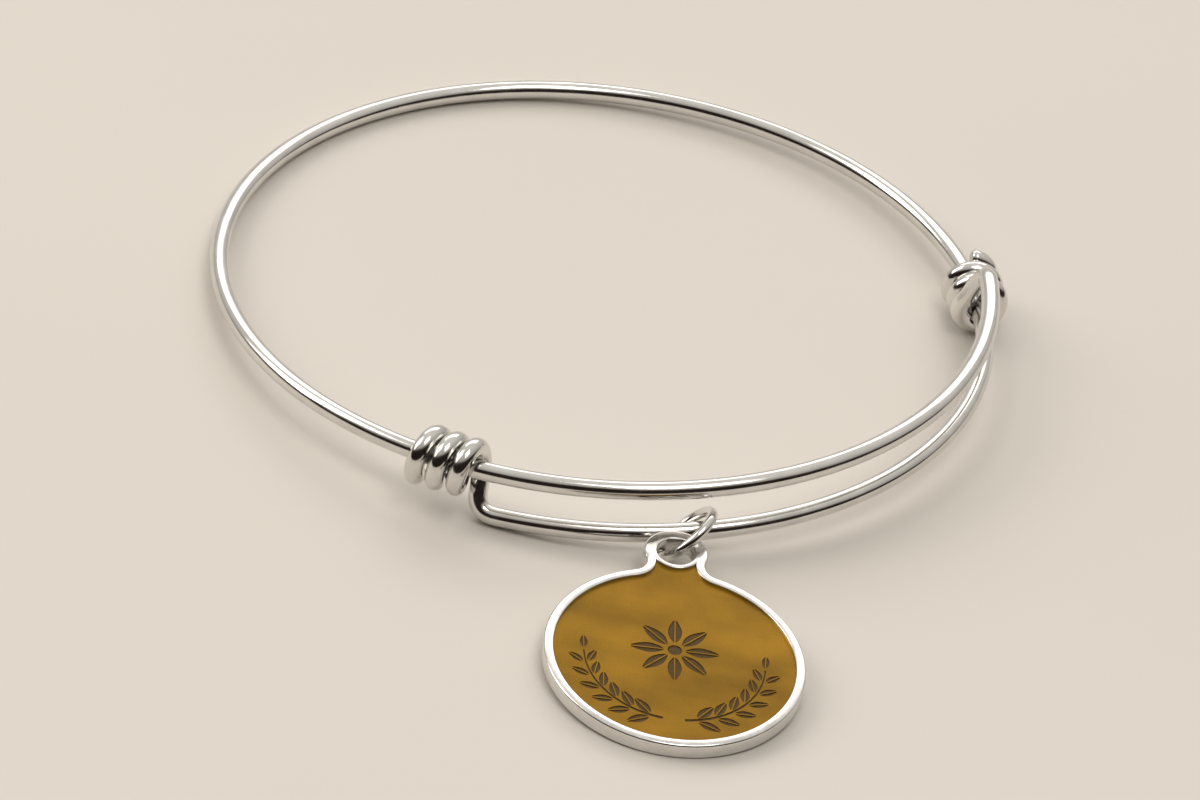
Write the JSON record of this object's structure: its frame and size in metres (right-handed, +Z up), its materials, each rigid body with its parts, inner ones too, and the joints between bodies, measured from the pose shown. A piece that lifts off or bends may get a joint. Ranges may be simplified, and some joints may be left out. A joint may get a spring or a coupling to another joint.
{
  "type": "expandable charm bangle",
  "caption": "Expandable wire bangle whose ends are coiled round each other's strand, with a round charm on a jump ring.",
  "frame": {"origin": "middle of the bangle's footprint, on the surface that it lies on", "axes": "+Z up through the hoop, as it lies on its side; -Y towards the charm; +X towards the coil at the upper strand's end"},
  "size_m": [0.0638, 0.0872, 0.0074],
  "materials": {
    "polished_steel_wire": "polished stainless steel wire with fine handling marks",
    "jump_ring_steel": "polished stainless steel wire",
    "charm_steel": "stamped steel with a polished rim, edge and back; the recessed field is a warm satin tone with a dark-filled engraving"
  },
  "bodies": {
    "root": {"bangle_wire": "polished_steel_wire", "jump_ring": "jump_ring_steel", "charm": "charm_steel"}
  },
  "joints": []
}
